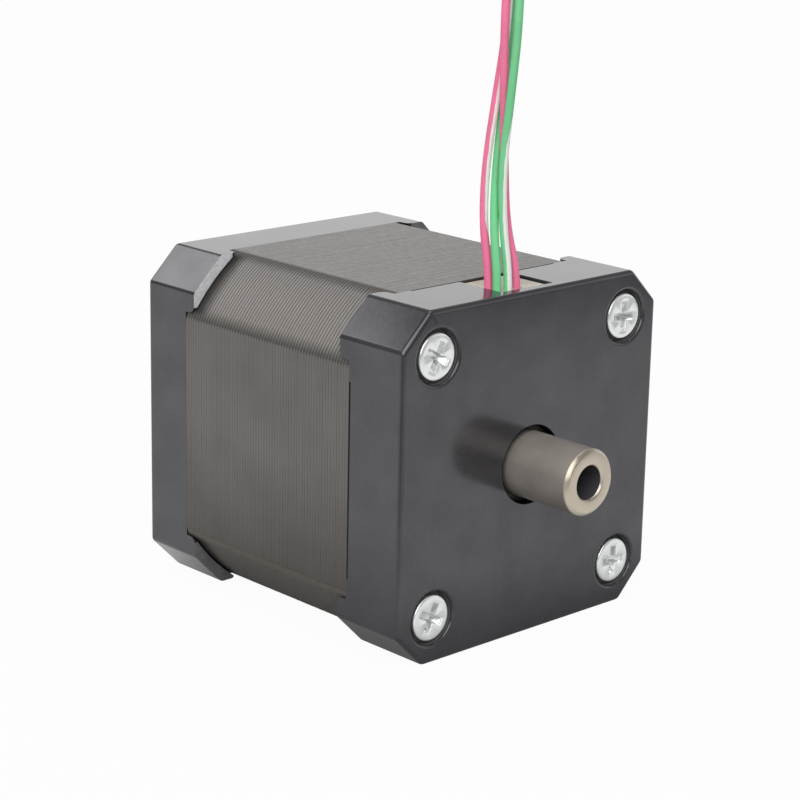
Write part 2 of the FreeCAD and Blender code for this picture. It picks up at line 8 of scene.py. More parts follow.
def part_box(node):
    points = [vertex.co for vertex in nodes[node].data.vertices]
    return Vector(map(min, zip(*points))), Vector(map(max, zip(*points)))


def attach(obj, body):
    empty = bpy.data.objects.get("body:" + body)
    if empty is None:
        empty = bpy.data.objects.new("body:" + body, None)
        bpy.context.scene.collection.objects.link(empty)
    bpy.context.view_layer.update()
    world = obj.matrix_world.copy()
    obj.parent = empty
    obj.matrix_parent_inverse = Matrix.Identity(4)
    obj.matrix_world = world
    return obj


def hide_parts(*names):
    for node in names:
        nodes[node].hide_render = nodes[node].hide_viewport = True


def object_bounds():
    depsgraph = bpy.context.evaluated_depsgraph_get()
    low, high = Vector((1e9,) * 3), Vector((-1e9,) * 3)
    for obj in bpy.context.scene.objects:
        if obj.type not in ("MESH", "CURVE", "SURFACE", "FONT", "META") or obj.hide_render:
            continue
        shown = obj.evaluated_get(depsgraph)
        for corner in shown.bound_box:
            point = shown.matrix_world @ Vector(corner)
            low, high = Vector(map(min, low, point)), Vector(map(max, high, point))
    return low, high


# Hollow shaft stepper motor: two painted bells, a stack of laminations and four free leads.
# Everything is in metres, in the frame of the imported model. The shaft lies along Y.

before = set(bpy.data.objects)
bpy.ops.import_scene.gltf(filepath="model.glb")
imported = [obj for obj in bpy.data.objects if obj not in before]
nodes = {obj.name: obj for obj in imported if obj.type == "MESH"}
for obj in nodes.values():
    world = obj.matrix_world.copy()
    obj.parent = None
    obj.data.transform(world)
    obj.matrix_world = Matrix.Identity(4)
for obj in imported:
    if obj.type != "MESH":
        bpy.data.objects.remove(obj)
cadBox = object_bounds()
scene = bpy.context.scene
mm = 0.001
print("frame loaded with", len(nodes), "nodes")


# camera

cameraSet = {
    "place": (-0.192527, -0.227436, 0.081844),
    "azimuth": -43.338,
    "elevation": 15.719,
    "roll": 1.18,
    "lens": 106.0,
    "sensor": 36.0,
    "clip": (0.01, 20.0),
}


def addCamera(spec):
    azimuth, elevation, roll = (math.radians(spec[key]) for key in ("azimuth", "elevation", "roll"))
    level = math.cos(elevation)
    right = Vector((math.cos(azimuth), math.sin(azimuth), 0))
    back = Vector((math.sin(azimuth) * level, -math.cos(azimuth) * level, math.sin(elevation)))
    up = back.cross(right)
    across = right * math.cos(roll) + up * math.sin(roll)
    upright = up * math.cos(roll) - right * math.sin(roll)
    data = bpy.data.cameras.new("photoCamera")
    data.lens = spec["lens"]
    data.sensor_width = spec["sensor"]
    data.clip_start, data.clip_end = spec["clip"]
    camera = bpy.data.objects.new("photoCamera", data)
    turn = Matrix((across, upright, back)).transposed().to_4x4()
    camera.matrix_world = Matrix.Translation(spec["place"]) @ turn
    scene.collection.objects.link(camera)
    scene.camera = camera


addCamera(cameraSet)
print("camera set")


# node helpers, for shaders and geometry alike

def setInputs(node, inputs):
    for key, value in inputs.items():
        if isinstance(value, bpy.types.NodeSocket):
            node.id_data.links.new(value, node.inputs[key])
        else:
            node.inputs[key].default_value = value


def addNode(tree, kind, inputs=None, settings=None):
    made = tree.nodes.new(kind)
    for key, value in (settings or {}).items():
        setattr(made, key, value)
    setInputs(made, inputs or {})
    return made


def nodeOn(kind, inputs, settings=None):
    # a node in the tree of the sockets that feed it
    sockets = [value for value in inputs.values() if isinstance(value, bpy.types.NodeSocket)]
    return addNode(sockets[0].id_data, kind, inputs, settings)


def math2(operation, first, second=0.0):
    return nodeOn("ShaderNodeMath", {0: first, 1: second}, {"operation": operation}).outputs[0]


def times(first, second):
    return math2("MULTIPLY", first, second)


def blendOf(first, second, shares):
    # the sum of a share of each
    return math2("ADD", times(first, shares[0]), times(second, shares[1]))


def axesOf(vector):
    return nodeOn("ShaderNodeSeparateXYZ", {0: vector}).outputs


def vectorOf(**parts):
    return nodeOn("ShaderNodeCombineXYZ", parts).outputs[0]


def objectPlace(tree, stretch=(1, 1, 1)):
    coords = addNode(tree, "ShaderNodeTexCoord").outputs["Object"]
    return nodeOn("ShaderNodeMapping", {"Vector": coords, "Scale": stretch}).outputs["Vector"]


def shaftRadius(tree):
    # distance from the shaft's axis
    flat = objectPlace(tree, (1, 0, 1))
    return nodeOn("ShaderNodeVectorMath", {0: flat}, {"operation": "LENGTH"}).outputs["Value"]


def noiseOf(place, size, detail=3.0):
    # size is the width of one blotch, in metres
    inputs = {"Vector": place, "Scale": 1 / size, "Detail": detail}
    return nodeOn("ShaderNodeTexNoise", inputs).outputs["Fac"]


def spreadOf(factor, low=0.0, high=1.0, start=0.3, end=0.7):
    inputs = {"Value": factor, "From Min": start, "From Max": end, "To Min": low, "To Max": high}
    return nodeOn("ShaderNodeMapRange", inputs).outputs["Result"]


def mixTint(factor, *tints):
    # each tint is a socket, or red, green and blue
    first, second = [(*tint, 1) if isinstance(tint, tuple) else tint for tint in tints]
    return nodeOn("ShaderNodeMix", {0: factor, 6: first, 7: second}, {"data_type": "RGBA"}).outputs[2]


def bumpOf(height, depth, under=None):
    inputs = {"Height": height, "Distance": depth, "Strength": 1.0}
    if under:
        inputs["Normal"] = under
    return nodeOn("ShaderNodeBump", inputs).outputs["Normal"]


def startMaterial(name):
    material = bpy.data.materials.new(name)
    material.use_nodes = True
    return material, material.node_tree


def feed(material, tint, rough, normal, others=None):
    shader = material.node_tree.nodes["Principled BSDF"]
    setInputs(shader, {"Base Color": tint, "Roughness": rough, "Normal": normal, **(others or {})})
    return material


# mesh helpers

meshSet = {
    "merge": 0.001 * mm,  # points closer than this are one
    "flat": 0.5,  # degrees between faces that are one
}


def addPiece(name, mesh):
    piece = bpy.data.objects.new(name, mesh)
    scene.collection.objects.link(piece)
    return piece


def plainMesh(name, points, faces):
    mesh = bpy.data.meshes.new(name)
    mesh.from_pydata(points, [], faces)
    mesh.update()
    return mesh


def settle(piece):
    # turns a piece with live modifiers into a plain mesh
    graph = bpy.context.evaluated_depsgraph_get()
    mesh = bpy.data.meshes.new_from_object(
        piece.evaluated_get(graph), preserve_all_data_layers=True, depsgraph=graph)
    piece.modifiers.clear()
    piece.data = mesh
    return mesh


def openMesh(mesh):
    work = bmesh.new()
    work.from_mesh(mesh)
    return work


def closeMesh(work, mesh):
    work.to_mesh(mesh)
    work.free()
    return mesh


def softenEdges(piece, edge, share=None):
    # edge: a width, steps, the angle edges are broken from, and the angle shading is smooth up to
    # share: of the width, from the place
    width, steps, breakFrom, smoothTo = edge
    work = openMesh(piece.data)
    weights = work.edges.layers.float.new("bevel_weight_edge")
    for side in work.edges:
        if side.calc_face_angle(0.0) > math.radians(breakFrom):
            side[weights] = min(share(v.co) for v in side.verts) if share else 1.0
    closeMesh(work, piece.data)
    bevel = piece.modifiers.new("edge", "BEVEL")
    bevel.limit_method = "WEIGHT"
    bevel.width = width
    bevel.segments = steps
    bevel.use_clamp_overlap = False
    mesh = settle(piece)
    mesh.shade_smooth()
    mesh.set_sharp_from_angle(angle=math.radians(smoothTo))
    piece.modifiers.new("weigh", "WEIGHTED_NORMAL").keep_sharp = True
    return settle(piece)


def copyOfNode(node, name):
    # a merged copy of a CAD node, with its flat faces whole
    source = nodes[node].data
    mesh = plainMesh(name, [v.co for v in source.vertices], [p.vertices for p in source.polygons])
    work = openMesh(mesh)
    bmesh.ops.remove_doubles(work, verts=work.verts, dist=meshSet["merge"])
    flat = math.radians(meshSet["flat"])
    bmesh.ops.dissolve_limit(work, angle_limit=flat, verts=work.verts, edges=work.edges)
    return addPiece(name, closeMesh(work, mesh))


def lathe(name, profile, sides):
    # turns a closed profile of (radius, y) about the shaft's axis
    count = len(profile)
    points = []
    for side in range(sides):
        angle = math.tau * side / sides
        for radius, y in profile:
            points.append((radius * math.cos(angle), y, radius * math.sin(angle)))
    faces = []
    for side in range(sides):
        here = side * count
        there = (side + 1) % sides * count
        for i in range(count):
            j = (i + 1) % count
            faces.append((here + i, here + j, there + j, there + i))
    mesh = plainMesh(name, points, faces)
    work = openMesh(mesh)
    bmesh.ops.remove_doubles(work, verts=work.verts, dist=meshSet["merge"])
    bmesh.ops.recalc_face_normals(work, faces=work.faces)
    return closeMesh(work, mesh)


def instanceTree(name, sockets):
    # a geometry tree with named inputs after its geometry
    tree = bpy.data.node_groups.new(name, "GeometryNodeTree")
    tree.interface.new_socket("Geometry", in_out="INPUT", socket_type="NodeSocketGeometry")
    for label, kind in sockets.items():
        tree.interface.new_socket(label, in_out="INPUT", socket_type="NodeSocket" + kind)
    tree.interface.new_socket("Geometry", in_out="OUTPUT", socket_type="NodeSocketGeometry")
    return tree, tree.nodes.new("NodeGroupInput").outputs, tree.nodes.new("NodeGroupOutput").inputs


def closeTree(tree, copies, given, result):
    # makes the copies real and gives them their material
    whole = nodeOn("GeometryNodeRealizeInstances", {0: copies.outputs[0]})
    done = nodeOn("GeometryNodeSetMaterial", {"Geometry": whole.outputs[0], "Material": given["Material"]})
    tree.links.new(done.outputs[0], result[0])
    return tree


def runTree(piece, tree, values):
    modifier = piece.modifiers.new(tree.name, "NODES")
    modifier.node_group = tree
    for item in tree.interface.items_tree:
        if item.in_out == "INPUT" and item.name in values:
            modifier[item.identifier] = values[item.name]
    return settle(piece)


def finishPiece(piece, slot, *replaced, body="motor_body"):
    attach(piece, body)
    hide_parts(*replaced)
    return piece


# leads: routes as in the solids, then a flat coil of one and a half turns and a straight tail

leadSet = {
    "diameter": 1.0 * mm,
    "sides": 18,
    "steps": 6,
    "capAngle": 60,
    "exitHeight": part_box("lead_block")[1].z,
    "shades": (0.88, 1.18),  # darkest and palest share of the tint
    "footFrom": -60 * mm,  # painted light: paler where they leave the block
    "footHeight": (24 * mm, 44 * mm),
    "footLight": 1.18,
    "rough": (0.36, 0.5),
    "blotch": 6 * mm, "grain": 0.25 * mm, "grainDepth": 0.012 * mm,
    "stripeHalf": 0.17,  # share of the way round
    "stripeBlur": 0.012, "stripeWaver": 1.5 * mm, "stripeTint": (0.95, 0.96, 0.93),
}
coilSet = {
    "centre": (5.5, -112.0),  # mm, as the route's points
    "radius": 9.5, "spacing": 1.08,
    "turn": (190, 710, 20),  # first and last angle, and step
    "ramp": (380, 500),
    "lower": -20.42,
    "tieAt": 270, "tieReach": 50, "tieLift": 0.46, "tieEase": 1.6,
    "tail": (-108.5, -105.8, -103.0, -100.5),
}
leadRoutes = {
    "leadRedWhite": [
        (-3.17, -41.33, 17.6), (-3.17, -41.33, 22.3), (-3.7, -40.6, 28), (-3.6, -40.6, 35),
        (-2.8, -41.2, 43), (-2.05, -41.9, 51), (-1.9, -41.95, 62.2), (-2, -46.3, 73.6),
        (-2.3, -57.7, 81.2), (-2.7, -72.2, 82.1), (-3.1, -85, 76.3), (-3.5, -93.2, 64.8),
        (-3.8, -96.8, 48.1), (-3.9, -97.5, 27), (-3.9, -97.1, 8), (-3.9, -96.3, -5.5),
        (-3.9, -98, -13.2), (-3.75, -101.5, -17.2), (-3.6, -105.6, -18.3),
    ],
    "leadGreen": [
        (-3.14, -42.65, 17.6), (-3.14, -42.65, 22.3), (-3.35, -41.95, 28), (-2.65, -41.35, 35),
        (-1.5, -41.2, 43), (-0.9, -41.4, 51), (-0.95, -42.7, 62), (-1.05, -46.9, 73.1),
        (-1.35, -58, 80.5), (-1.75, -72, 81.3), (-2.15, -84.5, 75.7), (-2.55, -92.5, 64.4),
        (-2.85, -96, 48), (-2.95, -96.7, 27), (-2.95, -96.3, 8), (-2.95, -95.6, -5.6),
        (-2.95, -97.3, -13.6), (-2.8, -101, -18), (-2.6, -105.4, -19.1),
    ],
    "leadGreenWhite": [
        (-1.86, -43.2, 17.6), (-1.86, -43.2, 22.3), (-2.75, -42.85, 28), (-3.4, -43.1, 35),
        (-2.95, -43.6, 43), (-2.15, -43.75, 51), (-2, -43.65, 61.8), (-2.1, -47.7, 72.5),
        (-2.4, -58.3, 79.6), (-2.8, -71.8, 80.3), (-3.2, -83.8, 74.9), (-3.6, -91.6, 64.1),
        (-3.9, -95.1, 47.9), (-4, -95.8, 27), (-4, -95.4, 8), (-4, -94.7, -5.7),
        (-4, -96.4, -13.8), (-4.05, -100.5, -18.4), (-4.2, -105.2, -19.35),
    ],
    "leadRed": [
        (-0.31, -43.05, 17.6), (-0.31, -43.05, 22.3), (-1.65, -42.3, 28), (-2.4, -42.4, 35),
        (-2.8, -42.5, 43), (-3.1, -42.4, 51), (-2.95, -42.8, 62), (-3.05, -47, 73),
        (-3.35, -58, 80.4), (-3.75, -72, 81.2), (-4.15, -84.4, 75.6), (-4.55, -92.4, 64.4),
        (-4.85, -95.9, 48), (-4.95, -96.6, 27), (-4.95, -96.2, 8), (-4.95, -95.5, -5.6),
        (-4.95, -97.2, -13.6), (-5, -101, -17.8), (-5, -106.4, -18.95),
    ],
}
# node, slot, place in the flat coil from its inside, tint, and where a stripe faces, as (mm along, degrees)
leadFinish = {
    "leadRedWhite": (
        "lead_red_white", "red_white_insulation", -0.5, (0.85, 0.185, 0.345),
        [(0, 30), (7.5, 24), (12, -60), (20, -72), (45, -75), (120, -20), (330, 160)]),
    "leadGreen": ("lead_green", "green_insulation", -1.5, (0.175, 0.62, 0.285), []),
    "leadGreenWhite": (
        "lead_green_white", "green_white_insulation", 0.5, (0.18, 0.62, 0.29),
        [(0, -80), (8, -77), (19, -64), (25, 5), (32, 35), (60, 60), (330, 240)]),
    "leadRed": ("lead_red", "red_insulation", 1.5, (0.87, 0.19, 0.35), []),
}


def smoothStep(value):
    value = min(max(value, 0.0), 1.0)
    return value * value * (3 - 2 * value)


def coilPoints(spec, column):
    # the first turn comes down on the second, and both rise a little over the tie's strap
    x0, y0 = spec["centre"]
    ringRadius = spec["radius"] + column * spec["spacing"]
    first, last, step = spec["turn"]
    rampStart, rampEnd = spec["ramp"]
    reach = ringRadius / math.cos(math.radians(step / 2))
    upper = spec["lower"] + spec["spacing"]
    points = []
    for degrees in range(first, last + 1, step):
        ramp = smoothStep((degrees - rampStart) / (rampEnd - rampStart))
        fromTie = abs((degrees - spec["tieAt"] + 180) % 360 - 180)
        lift = spec["tieLift"] * smoothStep(spec["tieEase"] * (1 - fromTie / spec["tieReach"]))
        z = upper + (spec["lower"] - upper) * ramp + lift
        angle = math.radians(degrees)
        points.append((x0 + reach * math.cos(angle), y0 + reach * math.sin(angle), z))
    for y in spec["tail"]:
        points.append((x0 + ringRadius, y, spec["lower"]))
    return points


def splinePoints(places, steps):
    # points on a smooth curve that has these places as its control points
    curve = bpy.data.curves.new("route", "CURVE")
    curve.dimensions = "3D"
    curve.resolution_u = steps
    spline = curve.splines.new("NURBS")
    spline.points.add(len(places) - 1)
    for point, place in zip(spline.points, places):
        point.co = (*place, 1)
    spline.order_u = 3
    spline.use_endpoint_u = True
    guide = addPiece("route", curve)
    graph = bpy.context.evaluated_depsgraph_get()
    line = bpy.data.meshes.new_from_object(guide.evaluated_get(graph))
    points = [v.co.copy() for v in line.vertices]
    bpy.data.objects.remove(guide)
    bpy.data.curves.remove(curve)
    bpy.data.meshes.remove(line)
    return points


def easedAt(pairs, length):
    # eases from one (length, value) pair to the next
    for (start, first), (end, second) in zip(pairs, pairs[1:]):
        if length < end:
            return first + (second - first) * smoothStep((length - start) / (end - start))
    return pairs[-1][1] if pairs else 0.0


def tubeMesh(name, path, radius, sides, stripe):
    # a closed tube whose seam of u = 0 follows the stripe round the path
    count = len(path)
    normal = Vector((1, 0, 0))
    points = []
    along = [0.0]
    for i, place in enumerate(path):
        tangent = (path[min(i + 1, count - 1)] - path[max(i - 1, 0)]).normalized()
        normal = (normal - tangent * normal.dot(tangent)).normalized()
        if i:
            along.append(along[-1] + (place - path[i - 1]).length)
        side = tangent.cross(normal)
        start = math.radians(easedAt(stripe, along[-1] / mm))
        for k in range(sides):
            angle = start + math.tau * k / sides
            points.append(place + (normal * math.cos(angle) + side * math.sin(angle)) * radius)
    quads = []
    cornerUvs = []
    for i in range(count - 1):
        for k in range(sides):
            a = i * sides + k
            b = i * sides + (k + 1) % sides
            quads.append((a, b, b + sides, a + sides))
            low, high = along[i] / along[-1], along[i + 1] / along[-1]
            left, right = k / sides, (k + 1) / sides
            cornerUvs += [(left, low), (right, low), (right, high), (left, high)]
    caps = [tuple(reversed(range(sides))), tuple(range((count - 1) * sides, count * sides))]
    mesh = plainMesh(name, points, quads + caps)
    layer = mesh.uv_layers.new(name="around")
    for corner, uv in zip(layer.data, cornerUvs):
        corner.uv = uv
    mesh.shade_smooth()
    mesh.set_sharp_from_angle(angle=math.radians(leadSet["capAngle"]))
    return mesh, along[-1]


def insulation(name, ownTint, striped):
    # soft plastic, with a broad white stripe on two of the leads
    material, tree = startMaterial(name)
    place = objectPlace(tree)
    blotch = noiseOf(place, leadSet["blotch"])

    def tinted(share):
        return tuple(min(1.0, share * part) for part in ownTint)

    dark, pale = [tinted(share) for share in leadSet["shades"]]
    tint = mixTint(spreadOf(blotch), dark, pale)
    axes = axesOf(place)
    # painted light: the leads are paler low down near the block
    atBlock = math2("GREATER_THAN", axes["Y"], leadSet["footFrom"])
    footLightMask = times(atBlock, spreadOf(axes["Z"], 1, 0, *leadSet["footHeight"]))
    tint = mixTint(footLightMask, tint, tinted(leadSet["footLight"]))
    if striped:
        around = addNode(tree, "ShaderNodeUVMap", None, {"uv_map": "around"}).outputs["UV"]
        fromSeam = math2("PINGPONG", axesOf(around)["X"], 0.5)
        half, blur = leadSet["stripeHalf"], leadSet["stripeBlur"]
        waver = spreadOf(noiseOf(place, leadSet["stripeWaver"]), -blur, blur)
        stripe = spreadOf(math2("ADD", fromSeam, waver), 1, 0, half - blur, half + blur)
        tint = mixTint(stripe, tint, leadSet["stripeTint"])
    grain = noiseOf(place, leadSet["grain"], detail=2)
    return feed(material, tint, spreadOf(blotch, *leadSet["rough"]), bumpOf(grain, leadSet["grainDepth"]))


def addLeads():
    made = {}
    for name, route in leadRoutes.items():
        node, slot, column, tint, stripe = leadFinish[name]
        places = route + coilPoints(coilSet, column)
        path = splinePoints([Vector(p) * mm for p in places], leadSet["steps"])
        mesh, length = tubeMesh(name, path, leadSet["diameter"] / 2, leadSet["sides"], stripe)
        mesh.materials.append(insulation(name, tint, stripe))
        piece = finishPiece(addPiece(name, mesh), slot, node)
        exitPoint = (path[0].x, path[0].y, leadSet["exitHeight"])
        made[name] = (piece, exitPoint, path, length)
        print(name, "length", round(length / mm, 1), "mm")
    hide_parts("lead_coil")
    return made


leads = addLeads()
print("leads laid")


# stage: pale floor and a white backdrop, for the camera and for what metal mirrors; soft lamps

stageSet = {
    "floorHeight": cadBox[0].z,
    "floorHalf": 6.0,
    "floorShine": 0.96,  # share of plain white in what the camera sees of the floor
    "floorGlint": 0.75,  # and in what gloss mirrors of it
    "floorTones": (0.6, 0.36),  # as seen, and as it lights the object
    "surround": 0.5,  # light from all round on the object
    "dim": 0.25,  # what gloss mirrors of the room beside and above the backdrop
    "backdrop": (0.97, 0.24, 0.0),  # the way to the backdrop's middle
    "backdropShine": 0.8, "backdropEdge": (0.15, 0.55), "backdropTop": (0.38, 0.62),
    "shade": 0.3,  # what gloss mirrors of the floor at the camera's left
    "shadeFrom": (-0.02, -0.03), "shadeReach": 0.05,
    "underShade": 0.25,  # and under the object and close to its rear
    "underReach": 0.02, "underEnd": (-0.01, 0.003), "sideInset": 0.003, "sideReach": 0.033,
    "farShade": 0.15,  # and far behind the rear
    "farSlope": 0.3, "farFrom": (-0.215, -0.172),
    "white": (1, 1, 1, 1),
    "aim": (0, -0.023, 0),  # where the lamps point
    "lampTint": (1.0, 0.985, 0.965),
}
# place, width and height in metres, and brightness
lampSet = {
    "overLamp": ((0.1, -0.05, 0.9), (0.6, 0.6), 1.4),
    "backLeftLamp": ((-0.126, 0.449, 0.349), (0.26, 0.15), 2.5),
    "backRightLamp": ((0.56, 0.55, 0.2), (0.7, 0.4), 0.45),
    "frontLamp": ((-0.6, -0.5, 0.6), (0.95, 0.95), 2.5),
}


def seenDirectly(path):
    # 1 for rays from the camera, and for what metal or glass mirrors
    either = math2("MAXIMUM", path["Is Camera Ray"], path["Is Glossy Ray"])
    return math2("MAXIMUM", either, path["Is Transmission Ray"])


def rayTree(owner):
    # an empty tree, and what kind of ray meets it
    owner.use_nodes = True
    owner.node_tree.nodes.clear()
    return owner.node_tree, addNode(owner.node_tree, "ShaderNodeLightPath").outputs


def showMix(output, share, first, second):
    mixed = nodeOn("ShaderNodeMixShader", {0: share, 1: first.outputs[0], 2: second.outputs[0]})
    nodeOn(output, {0: mixed.outputs[0]})


def addWorld(spec):
    scene.world = bpy.data.worlds.new("studio")
    tree, path = rayTree(scene.world)
    way = addNode(tree, "ShaderNodeTexCoord").outputs["Generated"]
    behind = nodeOn("ShaderNodeVectorMath", {0: way, 1: spec["backdrop"]}, {"operation": "DOT_PRODUCT"})
    inside = times(spreadOf(behind.outputs["Value"], 0, 1, *spec["backdropEdge"]),
                   spreadOf(axesOf(way)["Z"], 1, 0, *spec["backdropTop"]))
    mirrored = spreadOf(inside, spec["dim"], spec["backdropShine"], 0, 1)
    strength = math2("MAXIMUM", path["Is Camera Ray"], mirrored)
    around = addNode(tree, "ShaderNodeBackground", {"Color": spec["white"], "Strength": spec["surround"]})
    shown = nodeOn("ShaderNodeBackground", {"Color": spec["white"], "Strength": strength})
    showMix("ShaderNodeOutputWorld", seenDirectly(path), around, shown)


def addFloor(spec):
    half, z = spec["floorHalf"], spec["floorHeight"]
    corners = [(-half, -half, z), (half, -half, z), (half, half, z), (-half, half, z)]
    floor = addPiece("floor", plainMesh("floor", corners, [(0, 1, 2, 3)]))
    material = bpy.data.materials.new("paleFloor")
    tree, path = rayTree(material)
    place = axesOf(objectPlace(tree))
    x, y = spec["shadeFrom"]
    left = spreadOf(place["X"], 1, 0, x - spec["shadeReach"], x)
    near = spreadOf(place["Y"], 1, 0, y - spec["shadeReach"], y)
    mirrored = spreadOf(times(left, near), 1, spec["shade"], 0, 1)
    low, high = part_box("rear_end_bell")[0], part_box("front_end_bell")[1]
    beside = spreadOf(math2("ABSOLUTE", place["X"]), 1, 0,
                      high.x - spec["sideInset"], high.x + spec["sideReach"])
    behind = spreadOf(place["Y"], 0, 1, low.y - spec["underReach"], low.y)
    before = spreadOf(place["Y"], 1, 0, *spec["underEnd"])
    under = times(beside, times(behind, before))
    mirrored = times(mirrored, spreadOf(under, 1, spec["underShade"], 0, 1))
    far = math2("SUBTRACT", place["Y"], times(place["X"], spec["farSlope"]))
    mirrored = times(mirrored, spreadOf(far, spec["farShade"], 1, *spec["farFrom"]))
    strength = math2("MAXIMUM", path["Is Camera Ray"], mirrored)
    tone = spreadOf(path["Is Diffuse Ray"], *spec["floorTones"], 0, 1)
    matt = nodeOn("ShaderNodeBsdfDiffuse", {"Color": tone})
    glow = nodeOn("ShaderNodeEmission", {"Color": spec["white"], "Strength": strength})
    share = math2("MAXIMUM", times(path["Is Camera Ray"], spec["floorShine"]),
                  times(seenDirectly(path), spec["floorGlint"]))
    showMix("ShaderNodeOutputMaterial", share, matt, glow)
    floor.data.materials.append(material)


def addLamps(spec, lamps):
    aim = Vector(spec["aim"])
    for name, (place, size, shine) in lamps.items():
        data = bpy.data.lights.new(name, "AREA")
        data.shape = "RECTANGLE"
        data.color = spec["lampTint"]
        data.size, data.size_y = size
        data.energy = shine * math.pi * data.size * data.size_y
        lamp = bpy.data.objects.new(name, data)
        lamp.location = place
        lamp.rotation_euler = (aim - Vector(place)).to_track_quat("-Z", "Y").to_euler()
        lamp.visible_camera = False
        scene.collection.objects.link(lamp)


scene.view_settings.view_transform = "Standard"
addWorld(stageSet)
addFloor(stageSet)
addLamps(stageSet, lampSet)
print("stage lit")


# end bells: painted castings with broken edges; one lug end of the front bell has lost its paint

bellSet = {
    "edge": (0.4 * mm, 3, 50, 35),
    "thinEdge": 0.27,  # share of its width, away from the screw holes
    "screwPlace": 15.5 * mm, "screwReach": 3.4 * mm,
    "close": 0.05 * mm,  # counts as the same height
    "lugGap": 0.35 * mm,
    "lugFacing": -0.9,  # a lug end's normal is below this
    "wornFrom": 10 * mm,
    "counterbore": (0.45 * mm, 1 * mm),  # from the rear face, and short of the stack
    "paint": {
        "tones": ((0.023, 0.023, 0.026), (0.031, 0.031, 0.035)),
        "cloud": 9 * mm, "speck": 0.6 * mm, "blotch": 5 * mm,
        "gloss": (0.13, 0.2), "glossShares": (0.6, 0.4),  # of cloud and speck
        "coat": (0.68, 1.0), "coatShares": (0.75, 0.25),  # of blotch and speck
        "coatTint": (0.94, 0.93, 1.0, 1), "density": 1.53,
        "peel": 0.5 * mm, "peelDepth": 0.003 * mm,
        # the shaft's hole: painted near-black shade, matt and without gloss
        "holeRadius": 4.83 * mm, "holeShade": (0.006, 0.006, 0.006), "holeRough": 0.7, "holeDull": 0.85,
    },
    "bare": {
        "tones": ((0.7, 0.71, 0.74), (0.96, 0.97, 1.0)), "metal": 0.25, "rough": (0.5, 0.3),
        "cloud": 0.5 * mm, "groove": 0.18 * mm, "nick": 0.16 * mm, "nickRise": (0, 12, 0.6, 0.68),
        "relief": 0.004 * mm,
    },
    # a paler matt paint: painted light on the lug ends and the counterbore walls
    "fillLightPaint": {
        "tones": ((0.12, 0.12, 0.126), (0.18, 0.179, 0.185)), "metal": 0.0, "rough": (0.6, 0.45),
        "cloud": 1.2 * mm, "relief": 0.01 * mm,
    },
}


def bellPaint(spec):
    # glossy, with a slight peel; matt in the shaft's hole, with painted near-black shade there
    material, tree = startMaterial("bellPaint")
    place = objectPlace(tree)
    cloud = noiseOf(place, spec["cloud"], detail=4)
    speck = noiseOf(place, spec["speck"], detail=2)
    hole = math2("LESS_THAN", shaftRadius(tree), spec["holeRadius"])
    tint = mixTint(spreadOf(cloud), *spec["tones"])
    # painted shade: near black inside the shaft's hole
    tint = mixTint(hole, tint, spec["holeShade"])
    rough = spreadOf(blendOf(cloud, speck, spec["glossShares"]), *spec["gloss"])
    rough = math2("MAXIMUM", rough, times(hole, spec["holeRough"]))
    blotch = blendOf(noiseOf(place, spec["blotch"], detail=6), speck, spec["coatShares"])
    coat = math2("SUBTRACT", spreadOf(blotch, *spec["coat"]), times(hole, spec["holeDull"]))
    peel = noiseOf(place, spec["peel"], detail=2)
    return feed(material, tint, rough, bumpOf(peel, spec["peelDepth"]), {
        "Specular IOR Level": coat, "Specular Tint": spec["coatTint"], "IOR": spec["density"]})


def facedCasting(name, spec):
    # matt paint; where it is off, nicks and the rings left by facing
    material, tree = startMaterial(name)
    place = objectPlace(tree)
    cloud = relief = noiseOf(place, spec["cloud"], detail=4)
    if "groove" in spec:
        groove = math2("SINE", times(shaftRadius(tree), math.tau / spec["groove"]))
        nick = noiseOf(place, spec["nick"], detail=1)
        relief = math2("ADD", groove, spreadOf(nick, *spec["nickRise"]))
    tint = mixTint(spreadOf(cloud), *spec["tones"])
    return feed(material, tint, spreadOf(cloud, *spec["rough"]), bumpOf(relief, spec["relief"]),
                {"Metallic": spec["metal"]})


def addBells(spec):
    finishes = (bellPaint(spec["paint"]), facedCasting("bareCasting", spec["bare"]),
                facedCasting("fillLightMatt", spec["fillLightPaint"]))
    stackLow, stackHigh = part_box("stator_core")
    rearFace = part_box("rear_end_bell")[0].y
    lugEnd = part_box("front_end_bell")[0].y
    close = spec["close"]
    boreStart, boreEnd = spec["counterbore"]

    def atScrew(place):
        screw = spec["screwPlace"]
        return math.hypot(abs(place.x) - screw, abs(place.z) - screw) < spec["screwReach"]

    def edgeShare(place):
        # none at the lugs, and a wider one at the screw holes of the rear face
        if stackLow.y - spec["lugGap"] < place.y < stackHigh.y + close:
            return 0.0
        return 1.0 if atScrew(place) and place.y < rearFace + close else spec["thinEdge"]

    def finishAt(place, normal):
        # which of the finishes above a face has
        # the other lug ends and the counterbore walls take the paler matt paint, as painted light
        if normal.y < spec["lugFacing"] and abs(place.y - lugEnd) < close:
            return 1 if place.x < -spec["wornFrom"] and place.z > spec["wornFrom"] else 2
        inBore = rearFace + boreStart < place.y < stackLow.y - boreEnd
        return 2 if inBore and atScrew(place) else 0

    for node, name in (("front_end_bell", "frontBell"), ("rear_end_bell", "rearBell")):
        piece = copyOfNode(node, name)
        mesh = softenEdges(piece, spec["edge"], edgeShare)
        for finish in finishes:
            mesh.materials.append(finish)
        for face in mesh.polygons:
            face.material_index = finishAt(face.center, face.normal)
        finishPiece(piece, "bell_paint", node)


addBells(bellSet)
print("bells made")


# lamination stack: one punched sheet, repeated

